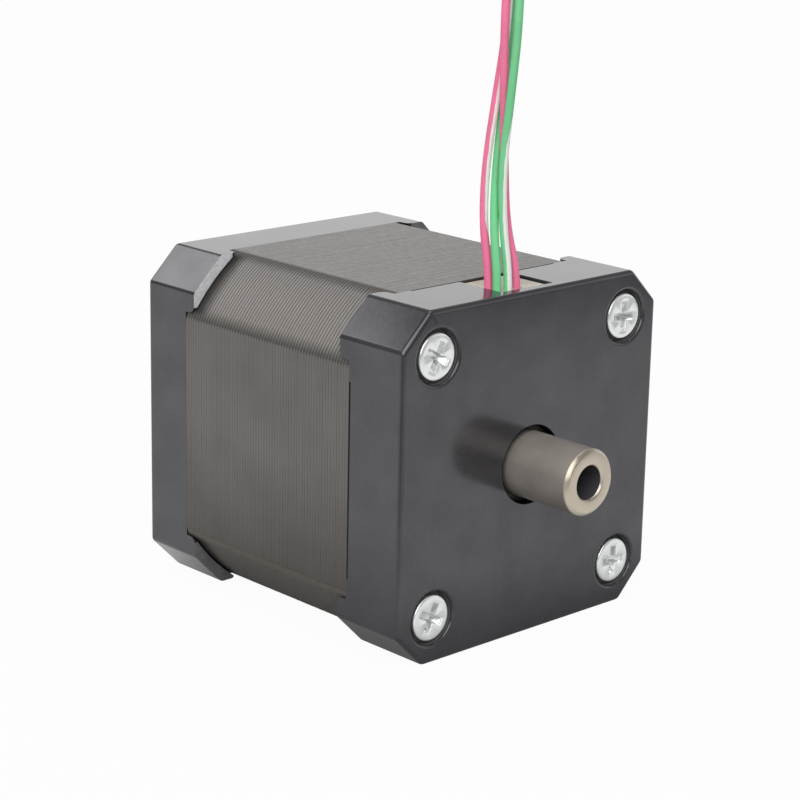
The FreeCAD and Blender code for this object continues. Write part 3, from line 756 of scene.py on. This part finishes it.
stackSet = {
    "count": 60,
    "rim": 0.03 * mm,  # broken edge of each sheet on the ground sides
    "cornerRim": 0.15 * mm,  # and on the corners, left as punched
    "rimDrop": (1.0, 0.35, 0.0),  # share of the rim, from the cap's edge to the full outline
    "rimRise": (0.0, 0.45, 1.0),
    "rimEase": 10,  # degrees
    "uneven": 0.0006,  # how much smaller a sheet may be
    "seed": 7,
    "shoulderRound": 2.5 * mm, "cornerSteps": 10,
    "holeRadius": 1.7 * mm, "holePlace": 15.5 * mm, "holeSides": 24,
    "poles": 8, "poleWidth": 4.0 * mm, "poleSteps": 3,
    "slot": 4.8 * mm, "slotSteps": 6, "shoe": 0.9 * mm,
    "teeth": 6, "toothPitch": 360 / 50, "toothShare": 0.4, "toothDepth": 0.6 * mm,
    "steel": {
        "metal": 0.5, "rough": (0.38, 0.54),
        "ground": ((0.168, 0.155, 0.146), (0.182, 0.168, 0.158)),
        "dragged": (0.225, 0.211, 0.2), "stainAndFootShade": (0.062, 0.055, 0.049), "topLight": (0.3, 0.295, 0.29),
        "punched": ((0.27, 0.257, 0.247), (0.36, 0.345, 0.333)),
        "shaded": (0.165, 0.152, 0.139), "lugShadow": (0.02, 0.019, 0.018), "joint": (0.055, 0.05, 0.046),
        "drag": 0.5 * mm, "dragStretch": (1, 0.4, 1), "relief": 0.008 * mm, "cloud": 6 * mm,
        # how much of a tone there is: the first share, the last, and where they are
        "groundDrag": (0, 0.45), "groundCloud": (0, 0.22), "groundJoint": (0, 0.4, 0.38, 0.48),
        "groundFootShade": (0.68, 0, -15 * mm, 0), "groundTopLight": (0, 0.5, 20.6 * mm, 20.9 * mm),
        "punchedDrag": (0, 0.5), "punchedJoint": (0, 0.74, 0.18, 0.38), "upper": (0, 1, -14 * mm, 14 * mm),
        "corner": (0, 1, 0.02 * mm, 0.07 * mm), "shoulder": (0.75, 0, 0.05 * mm, 0.85 * mm),
        "lugShadowInward": (0, 1, 0.1 * mm, 0.5 * mm),
        "lugShadowAlong": (0, 0.95, -2.4 * mm, -0.6 * mm),  # from the lug's end
    },
}


def polar(radius, degrees):
    angle = math.radians(degrees)
    return (radius * math.sin(angle), radius * math.cos(angle))


def arcOf(radius, start, end, steps):
    return [polar(radius, start + (end - start) * i / steps) for i in range(steps + 1)]


def sheetOutline(spec, half, corner):
    # a square whose corners lie on a circle about the shaft, with rounded shoulders,
    # as (x, z, way out in x, way out in z, rim)
    turn, steps = spec["shoulderRound"], spec["cornerSteps"]
    inner = half - turn
    reach = math.sqrt((corner - turn) ** 2 - inner ** 2)
    shoulder = math.degrees(math.atan2(reach, inner))
    arcs = [(reach, inner, turn, 0, shoulder), (0, 0, corner, shoulder, 90 - shoulder),
            (inner, reach, turn, 90 - shoulder, 90)]
    quarter = []
    for x0, z0, radius, start, end in arcs:
        for i in range(1 if quarter else 0, steps + 1):
            degrees = start + (end - start) * i / steps
            fromFlat = min(degrees, 90 - degrees)
            ease = smoothStep(fromFlat / spec["rimEase"])
            rim = spec["rim"] + (spec["cornerRim"] - spec["rim"]) * ease
            outX, outZ = polar(1, degrees)
            quarter.append((x0 + radius * outX, z0 + radius * outZ, outX, outZ, rim))
    points = []
    for c, s in ((1, 0), (0, 1), (-1, 0), (0, -1)):
        points += [(x * c + z * s, z * c - x * s, ox * c + oz * s, oz * c - ox * s, rim)
                   for x, z, ox, oz, rim in quarter]
    return points


def boreOutline(spec, bore):
    root = bore + spec["toothDepth"]
    back = root + spec["shoe"]
    yoke = back + spec["slot"]
    tooth = spec["toothPitch"] * spec["toothShare"]
    shoeHalf = (spec["teeth"] - 1) / 2 * spec["toothPitch"] + tooth / 2
    atYoke = math.degrees(math.asin(spec["poleWidth"] / 2 / yoke))
    atBack = math.degrees(math.asin(spec["poleWidth"] / 2 / back))
    step = 360 / spec["poles"]
    steps = spec["poleSteps"]
    points = []
    for pole in range(spec["poles"]):
        middle = pole * step
        points.append(polar(yoke, middle - atYoke))
        points += arcOf(back, middle - atBack, middle - shoeHalf, steps)
        for k in range(spec["teeth"]):
            left = middle - shoeHalf + k * spec["toothPitch"]
            points += arcOf(bore, left, left + tooth, 1)
            if k < spec["teeth"] - 1:
                points += arcOf(root, left + tooth, left + spec["toothPitch"], 1)
        points += arcOf(back, middle + shoeHalf, middle + atBack, steps)
        points += arcOf(yoke, middle + atYoke, middle + step - atYoke, spec["slotSteps"])[:-1]
    return points


def sheetMesh(spec, pitch):
    # caps, a rim with broken edges, and the walls of the bore and the screw holes
    reaches = [math.hypot(v.co.x, v.co.z) for v in nodes["stator_core"].data.vertices]
    bore = min(reaches)
    outer = sheetOutline(spec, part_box("stator_core")[1].z, max(reaches))
    hole = arcOf(spec["holeRadius"], 0, 360, spec["holeSides"])[:-1]
    holes = [[(x + sx * spec["holePlace"], z + sz * spec["holePlace"]) for x, z in hole]
             for sx in (-1, 1) for sz in (-1, 1)]
    work = bmesh.new()

    def ring(outline, y):
        return [work.verts.new((x, y, z)) for x, z in outline]

    def rimRing(start, way, step):
        drop, rise = spec["rimDrop"][step], spec["rimRise"][step]
        return [work.verts.new((x - ox * rim * drop, start + way * rim * rise, z - oz * rim * drop))
                for x, z, ox, oz, rim in outer]

    def wall(low, high):
        for i in range(len(low)):
            work.faces.new((low[i - 1], low[i], high[i], high[i - 1]))

    def edgesOf(loop):
        return [work.edges.get((loop[i - 1], loop[i])) for i in range(len(loop))]

    rims = [rimRing(0, 1, step) for step in (0, 1, 2)] + [rimRing(pitch, -1, step) for step in (2, 1, 0)]
    for low, high in zip(rims, rims[1:]):
        wall(low, high)
    openings = []
    for outline in [boreOutline(spec, bore)] + holes:
        low, high = ring(outline, 0), ring(outline, pitch)
        wall(low, high)
        openings.append((low, high))
    for level, loop in ((0, rims[0]), (1, rims[-1])):
        edges = edgesOf(loop)
        for opening in openings:
            edges += edgesOf(opening[level])
        bmesh.ops.triangle_fill(work, edges=edges, use_beauty=True, use_dissolve=False)
    bmesh.ops.recalc_face_normals(work, faces=work.faces)
    return closeMesh(work, bpy.data.meshes.new("sheet"))


def stackTree():
    tree, given, result = instanceTree("repeatSheets", {
        "Count": "Int", "Pitch": "Float", "Start": "Vector", "Uneven": "Float", "Seed": "Int",
        "Material": "Material"})

    def randomFrom(low, seed):
        inputs = {2: low, 3: 1.0, "Seed": seed}
        return nodeOn("FunctionNodeRandomValue", inputs, {"data_type": "FLOAT"}).outputs[1]

    step = vectorOf(Y=given["Pitch"])
    line = nodeOn("GeometryNodeMeshLine",
                  {"Count": given["Count"], "Start Location": given["Start"], "Offset": step})
    size = randomFrom(math2("SUBTRACT", 1.0, given["Uneven"]), given["Seed"])
    scale = vectorOf(X=size, Y=1.0, Z=size)
    copies = nodeOn("GeometryNodeInstanceOnPoints",
                    {"Points": line.outputs[0], "Instance": given["Geometry"], "Scale": scale})
    tone = randomFrom(0.0, math2("ADD", given["Seed"], 1.0))
    toned = nodeOn("GeometryNodeStoreNamedAttribute",
                   {"Geometry": copies.outputs[0], "Name": "sheetTone", "Value": tone},
                   {"data_type": "FLOAT", "domain": "INSTANCE"})
    return closeTree(tree, toned, given, result)


def laminationSteel(spec, start, pitch):
    # sides ground flat, with fine joints, with painted light on the top face and painted shade towards the
    # bottom; corners as punched, in bright and dark bands, with painted shade on the shoulders and the
    # lower corners, and the front lugs' painted shadow beside them
    material, tree = startMaterial("laminationSteel")
    place = objectPlace(tree)
    axes = axesOf(place)
    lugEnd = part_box("front_end_bell")[0].y
    widest = math2("MAXIMUM", math2("ABSOLUTE", axes["X"]), math2("ABSOLUTE", axes["Z"]))
    inward = math2("SUBTRACT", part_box("stator_core")[1].z, widest)
    sheet = math2("FRACT", math2("DIVIDE", math2("SUBTRACT", axes["Y"], start), pitch))
    fromMiddle = math2("ABSOLUTE", math2("SUBTRACT", sheet, 0.5))
    tone = addNode(tree, "ShaderNodeAttribute", None, {"attribute_name": "sheetTone"}).outputs["Fac"]
    drag = noiseOf(objectPlace(tree, spec["dragStretch"]), spec["drag"], detail=3)
    cloud = noiseOf(place, spec["cloud"], detail=4)

    def shareOf(factor, name, shift=0.0):
        first, last, *span = spec[name]
        return spreadOf(factor, first, last, *(shift + end for end in span))

    corner = shareOf(inward, "corner")
    ground = mixTint(tone, *spec["ground"])
    ground = mixTint(shareOf(drag, "groundDrag"), ground, spec["dragged"])
    ground = mixTint(shareOf(cloud, "groundCloud"), ground, spec["stainAndFootShade"])
    # painted shade: the ground sides grow darker towards the bottom
    ground = mixTint(shareOf(axes["Z"], "groundFootShade"), ground, spec["stainAndFootShade"])
    # painted light: the top face is paler
    ground = mixTint(shareOf(axes["Z"], "groundTopLight"), ground, spec["topLight"])
    ground = mixTint(shareOf(fromMiddle, "groundJoint"), ground, spec["joint"])
    shoulder = times(corner, shareOf(inward, "shoulder"))
    # painted shadow: the front lugs' shadow on the corners next to them
    lugShadow = times(shareOf(axes["Y"], "lugShadowAlong", lugEnd), shareOf(inward, "lugShadowInward"))
    punched = mixTint(shareOf(drag, "punchedDrag"), *spec["punched"])
    punched = mixTint(shareOf(fromMiddle, "punchedJoint"), punched, spec["joint"])
    # painted shade: a dark band along the rounded shoulders, in the tone of the joints
    punched = mixTint(shoulder, punched, spec["joint"])
    # painted shade: the lower corners take a flat darker tone in place of the punched bands
    punched = mixTint(shareOf(axes["Z"], "upper"), spec["shaded"], punched)
    # painted shadow of the front lugs, darkest right next to them
    punched = mixTint(lugShadow, punched, spec["lugShadow"])
    tint = mixTint(corner, ground, punched)
    return feed(material, tint, spreadOf(drag, *spec["rough"]), bumpOf(drag, spec["relief"]),
                {"Metallic": spec["metal"]})


def addStack(spec):
    low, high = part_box("stator_core")
    pitch = (high.y - low.y) / spec["count"]
    piece = addPiece("laminationStack", sheetMesh(spec, pitch))
    mesh = runTree(piece, stackTree(), {
        "Count": spec["count"], "Pitch": pitch, "Start": (0, low.y, 0), "Uneven": spec["uneven"],
        "Seed": spec["seed"], "Material": laminationSteel(spec["steel"], low.y, pitch),
    })
    finishPiece(piece, "lamination_steel", "stator_core")
    print("stack has", len(mesh.polygons), "faces")


addStack(stackSet)


# tie screws: pan heads with a cross recess, one model at four places

screwSet = {
    "headRadius": 2.75 * mm, "headHeight": 1.58 * mm,
    "headSink": 0.12 * mm,  # a little below the solid's head
    "headCrown": 0.25 * mm, "crownSteps": 6,
    "crownSpread": 1.6,  # its width over its height
    "shankRadius": 1.5 * mm, "shankEnd": 0.2 * mm, "coreRadius": 1.25 * mm, "tip": 0.3 * mm,
    "sides": 64,
    "edge": (0.035 * mm, 2, 30, 40),
    "crossSpan": 3.75 * mm, "crossWidth": 0.98 * mm, "crossDepth": 1.1 * mm,
    "crossOver": 0.3 * mm,  # how far the cutter stands out of the head
    "crossMiddle": (0.93, 0.25),  # shares of span and depth
    "crossFloor": (0.42, 0.6),  # shares of span and width
    "place": 15.5 * mm,
    "turns": (26, 27, 1, 4),  # in the order of the places below
    "zinc": {
        # recess: painted shade, a darker tone down in the cross recess
        "tones": ((0.91, 0.935, 0.94), (0.965, 0.985, 0.99)), "recess": (0.8, 0.825, 0.815),
        "deep": (0.1 * mm, 0.55 * mm),  # below the head's top
        "metal": (0.6, 0.9, 0, 0.4), "rough": (0.15, 0.25),
        "cloud": 1.6 * mm, "grain": 0.22 * mm, "grainDepth": 0.003 * mm,
    },
}


def screwMesh(spec):
    # head top at y = 0, shank along +Y
    low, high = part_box("tie_screws")
    top = low.y + spec["headSink"]
    length = high.y - top
    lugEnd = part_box("front_end_bell")[0].y - top
    radius, shank, core, tip = (spec[key] for key in ("headRadius", "shankRadius", "coreRadius", "tip"))
    crown, steps = spec["headCrown"], spec["crownSteps"]
    wide = spec["crownSpread"] * crown
    profile = [(0, 0), (radius - wide, 0)]
    for i in range(1, steps + 1):
        angle = math.pi / 2 * i / steps
        profile.append((radius - wide * (1 - math.sin(angle)), crown * (1 - math.cos(angle))))
    profile += [(radius, spec["headHeight"]), (shank, spec["headHeight"]), (shank, lugEnd),
                (core, lugEnd + spec["shankEnd"]), (core, length - tip), (core - tip, length), (0, length)]
    return lathe("screw", profile, spec["sides"])


def crossCutter(spec):
    # two tapered blades that meet in a deeper middle
    work = bmesh.new()
    half, wide, deep = spec["crossSpan"] / 2, spec["crossWidth"] / 2, spec["crossDepth"]
    over = spec["crossOver"]
    midSpan, midDepth = spec["crossMiddle"]
    lowSpan, lowWidth = spec["crossFloor"]
    for turn in (0, 90):
        spin = Matrix.Rotation(math.radians(turn), 4, "Y")
        top = [(-half, -over, -wide), (half, -over, -wide), (half, -over, wide), (-half, -over, wide)]
        mid = [(x * midSpan, midDepth * deep, z) for x, _, z in top]
        low = [(x * lowSpan, deep, z * lowWidth) for x, _, z in top]
        rings = [[work.verts.new(spin @ Vector(p)) for p in loop] for loop in (top, mid, low)]
        for upper, lower in zip(rings, rings[1:]):
            for i in range(4):
                work.faces.new((upper[i - 1], upper[i], lower[i], lower[i - 1]))
        work.faces.new(rings[0])
        work.faces.new(rings[-1])
    bmesh.ops.recalc_face_normals(work, faces=work.faces)
    return addPiece("crossCutter", closeMesh(work, bpy.data.meshes.new("crossCutter")))


def screwTree():
    tree, given, result = instanceTree("placeScrews", {"Screw": "Object", "Material": "Material"})
    model = nodeOn("GeometryNodeObjectInfo", {"Object": given["Screw"]}).outputs["Geometry"]
    turn = addNode(tree, "GeometryNodeInputNamedAttribute", {"Name": "turn"}, {"data_type": "FLOAT"})
    spin = vectorOf(Y=turn.outputs[0])
    copies = nodeOn("GeometryNodeInstanceOnPoints",
                    {"Points": given["Geometry"], "Instance": model, "Rotation": spin})
    return closeTree(tree, copies, given, result)


def zincPlate(spec, top):
    # bright plating, a little milky, with the marks of the header; painted shade darkens it down in the
    # recess
    material, tree = startMaterial("zincPlate")
    place = objectPlace(tree)
    deep = spreadOf(axesOf(place)["Y"], 0, 1, *(top + depth for depth in spec["deep"]))
    cloud = noiseOf(place, spec["cloud"], detail=3)
    grain = noiseOf(place, spec["grain"], detail=2)
    tint = mixTint(spreadOf(cloud), *spec["tones"])
    # painted shade: darker down in the recess
    tint = mixTint(deep, tint, spec["recess"])
    return feed(material, tint, spreadOf(cloud, *spec["rough"]), bumpOf(grain, spec["grainDepth"]),
                {"Metallic": spreadOf(deep, *spec["metal"])})


def addScrews(spec):
    model = addPiece("screwModel", screwMesh(spec))
    cutter = crossCutter(spec)
    cut = model.modifiers.new("recess", "BOOLEAN")
    cut.operation = "DIFFERENCE"
    cut.solver = "EXACT"
    cut.use_self = True
    cut.object = cutter
    settle(model)
    softenEdges(model, spec["edge"])
    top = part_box("tie_screws")[0].y + spec["headSink"]
    places = [(sx * spec["place"], top, sz * spec["place"]) for sx in (-1, 1) for sz in (-1, 1)]
    points = plainMesh("tieScrews", places, [])
    turns = points.attributes.new("turn", "FLOAT", "POINT")
    turns.data.foreach_set("value", [math.radians(t) for t in spec["turns"]])
    piece = addPiece("tieScrews", points)
    runTree(piece, screwTree(), {"Screw": model, "Material": zincPlate(spec["zinc"], top)})
    bpy.data.objects.remove(model)
    bpy.data.objects.remove(cutter)
    finishPiece(piece, "zinc_steel", "tie_screws")


addScrews(screwSet)
print("screws driven")


# hollow shaft: ground outside, faced ends with broken edges

shaftSet = {
    "radius": 4.0 * mm, "bore": 2.0 * mm, "chamfer": 0.45 * mm, "mouth": 0.25 * mm,
    "sides": 128,
    "edge": (0.07 * mm, 2, 20, 30),
    "tones": ((0.34, 0.308, 0.28), (0.42, 0.383, 0.35)),
    "faced": (0.6, 0.535, 0.44), "boreShade": (0.062, 0.061, 0.069),
    "faceEdge": (0.12 * mm, 0.02 * mm),  # short of the radius
    "boreOver": 0.02 * mm,
    "metal": (0.45, 1, 0, 1), "rough": (0.3, 0.38), "cloud": 4 * mm,
    "ground": 0.2 * mm, "groundStretch": (0.04, 1, 0.04), "groundDepth": 0.0012 * mm,
    "ring": 0.15 * mm, "ringDepth": 0.002 * mm,
}


def shaftSteel(spec):
    # fine rings round the shaft; its ends are cut brighter, and its bore is painted dark and matt as shade
    material, tree = startMaterial("shaftSteel")
    ground = noiseOf(objectPlace(tree, spec["groundStretch"]), spec["ground"], detail=2)
    cloud = noiseOf(objectPlace(tree), spec["cloud"], detail=3)
    radius = shaftRadius(tree)
    ring = noiseOf(vectorOf(X=radius), spec["ring"], detail=2)
    onFace = spreadOf(radius, 1, 0, *(spec["radius"] - short for short in spec["faceEdge"]))
    inBore = math2("LESS_THAN", radius, spec["bore"] + spec["boreOver"])
    tint = mixTint(spreadOf(cloud), *spec["tones"])
    tint = mixTint(onFace, tint, spec["faced"])
    # painted shade: the bore is dark and not metal
    tint = mixTint(inBore, tint, spec["boreShade"])
    metal = math2("SUBTRACT", spreadOf(onFace, *spec["metal"]), inBore)
    normal = bumpOf(ring, spec["ringDepth"], bumpOf(ground, spec["groundDepth"]))
    return feed(material, tint, spreadOf(ground, *spec["rough"]), normal, {"Metallic": metal})


def addShaft(spec):
    low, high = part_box("hollow_shaft")
    radius, bore = spec["radius"], spec["bore"]
    half = []
    for end, inward in ((low.y, 1), (high.y, -1)):
        half.append([(bore, end + inward * spec["mouth"]), (bore + spec["mouth"], end),
                     (radius - spec["chamfer"], end), (radius, end + inward * spec["chamfer"])])
    piece = addPiece("hollowShaft", lathe("hollowShaft", half[0] + half[1][::-1], spec["sides"]))
    softenEdges(piece, spec["edge"]).materials.append(shaftSteel(spec))
    finishPiece(piece, "shaft_steel", "hollow_shaft", body="rotor")


addShaft(shaftSet)
print("shaft turned")


# small pieces that keep their solid's shape, with softened edges: node, slot, finish and edge

softEdgeSet = {
    "leadBlock": ("lead_block", "exit_plastic", "exitPlastic", (0.12 * mm, 3, 40, 40)),
    "coilTie": ("coil_tie", "tie_plastic", "tieNylon", (0.18 * mm, 3, 40, 40)),
}
# dark and pale tone, metal, roughness, then in mm the size of clouds and grain, and the grain's depth
finishSet = {
    "exitPlastic": ((0.43, 0.4, 0.33), (0.53, 0.495, 0.42), 0, (0.42, 0.6), 2.5, 0.3, 0.02),
    "tieNylon": ((0.62, 0.61, 0.57), (0.76, 0.75, 0.71), 0, (0.35, 0.5), 2, 0.2, 0.01),
    "bobbinPlastic": ((0.016, 0.016, 0.017), (0.03, 0.03, 0.032), 0, (0.4, 0.6), 3, 0.25, 0.012),
    "windingCopper": ((0.36, 0.12, 0.045), (0.62, 0.25, 0.1), 1, (0.22, 0.4), 0.5, 0.24, 0.06),
    "springSteel": ((0.3, 0.28, 0.25), (0.44, 0.42, 0.38), 1, (0.25, 0.4), 1.5, 0.15, 0.005),
    "bearingSteel": ((0.56, 0.56, 0.57), (0.68, 0.68, 0.69), 1, (0.12, 0.24), 1.5, 0.1, 0.003),
    # painted shade: the inner rings, seen through the gap round the shaft, are toned dark
    "innerRingShade": ((0.07, 0.066, 0.06), (0.13, 0.124, 0.115), 0.6, (0.45, 0.6), 1.2, 0.12, 0.004),
    "shieldSteel": ((0.5, 0.5, 0.49), (0.63, 0.63, 0.62), 1, (0.26, 0.4), 1.2, 0.12, 0.004),
    "rotorSteel": ((0.2, 0.19, 0.18), (0.33, 0.32, 0.3), 0.8, (0.35, 0.55), 1, 0.3, 0.015),
    "magnetAlloy": ((0.12, 0.12, 0.125), (0.19, 0.19, 0.195), 0.7, (0.4, 0.6), 1.4, 0.2, 0.012),
    "spacerBrass": ((0.58, 0.42, 0.17), (0.75, 0.58, 0.28), 1, (0.2, 0.35), 1.5, 0.12, 0.005),
    "tinnedCopper": ((0.6, 0.59, 0.57), (0.8, 0.79, 0.76), 1, (0.25, 0.42), 0.6, 0.12, 0.01),
}
# nodes shown as they are: the inside, and the bare ends of the leads
plainNodes = {
    "bobbinPlastic": ["front_bobbin", "rear_bobbin"],
    "windingCopper": ["phase_a_coils", "phase_b_coils"],
    "springSteel": ["wave_washer"],
    "bearingSteel": ["front_outer_ring", "front_balls", "rear_outer_ring", "rear_balls"],
    "innerRingShade": ["front_inner_ring", "rear_inner_ring"],
    "shieldSteel": ["front_shields", "front_cage", "rear_shields", "rear_cage"],
    "rotorSteel": ["front_rotor_cup", "rear_rotor_cup"],
    "magnetAlloy": ["rotor_magnet"],
    "spacerBrass": ["front_spacer", "rear_spacer"],
    "tinnedCopper": ["tinned_ends"],
}


def cloudyFinish(name):
    dark, pale, metal, rough, patch, size, depth = finishSet[name]
    material, tree = startMaterial(name)
    place = objectPlace(tree)
    cloud = noiseOf(place, patch * mm, detail=4)
    grain = noiseOf(place, size * mm, detail=2)
    tint = mixTint(spreadOf(cloud), dark, pale)
    return feed(material, tint, spreadOf(grain, *rough), bumpOf(grain, depth * mm), {"Metallic": metal})


def addSoftEdged():
    for name, (node, slot, finish, edge) in softEdgeSet.items():
        piece = copyOfNode(node, name)
        softenEdges(piece, edge).materials.append(cloudyFinish(finish))
        finishPiece(piece, slot, node)


def finishPlainNodes():
    for finish, names in plainNodes.items():
        material = cloudyFinish(finish)
        for name in names:
            for slot in nodes[name].material_slots:
                slot.material = material


addSoftEdged()
finishPlainNodes()
print("small pieces and inner nodes finished")
